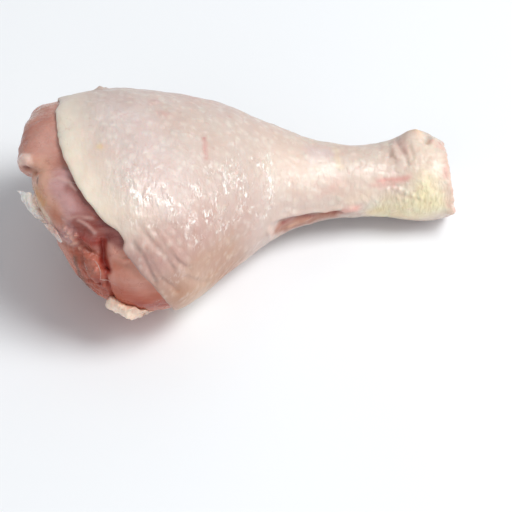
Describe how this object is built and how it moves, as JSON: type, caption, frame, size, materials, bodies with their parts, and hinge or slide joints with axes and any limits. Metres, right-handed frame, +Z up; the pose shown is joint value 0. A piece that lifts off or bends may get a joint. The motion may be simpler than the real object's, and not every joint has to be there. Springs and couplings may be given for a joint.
{
  "type": "raw chicken drumstick",
  "caption": "Raw chicken drumstick lying on its side, with pale skin round the muscles and bone, bare meat at the knee and a cut hock.",
  "frame": {"origin": "on the surface the drumstick rests on, under the middle of its bounding box", "axes": "+X from the knee end to the hock end, +Z up, -Y towards the side where the calf bulges"},
  "size_m": [0.1166, 0.0669, 0.0499],
  "materials": {
    "skin": "moist, finely bumped raw poultry skin",
    "meat_pink": "moist raw muscle",
    "meat_purple": "moist raw muscle under a silvery film",
    "meat_red": "moist raw muscle",
    "bone": "moist cartilage over bone",
    "joint_fat": "soft moist fat",
    "tendon": "moist white tendon",
    "fat": "soft moist fat"
  },
  "bodies": {
    "root": {"skin": "skin", "muscle_upper": "meat_pink", "muscle_side": "meat_purple", "muscle_lower": "meat_red", "muscle_far": "meat_pink", "bone": "bone", "knee_pad": "joint_fat", "tendon_flap": "tendon", "tendon_strip": "tendon", "fat_tag": "fat"}
  },
  "joints": []
}
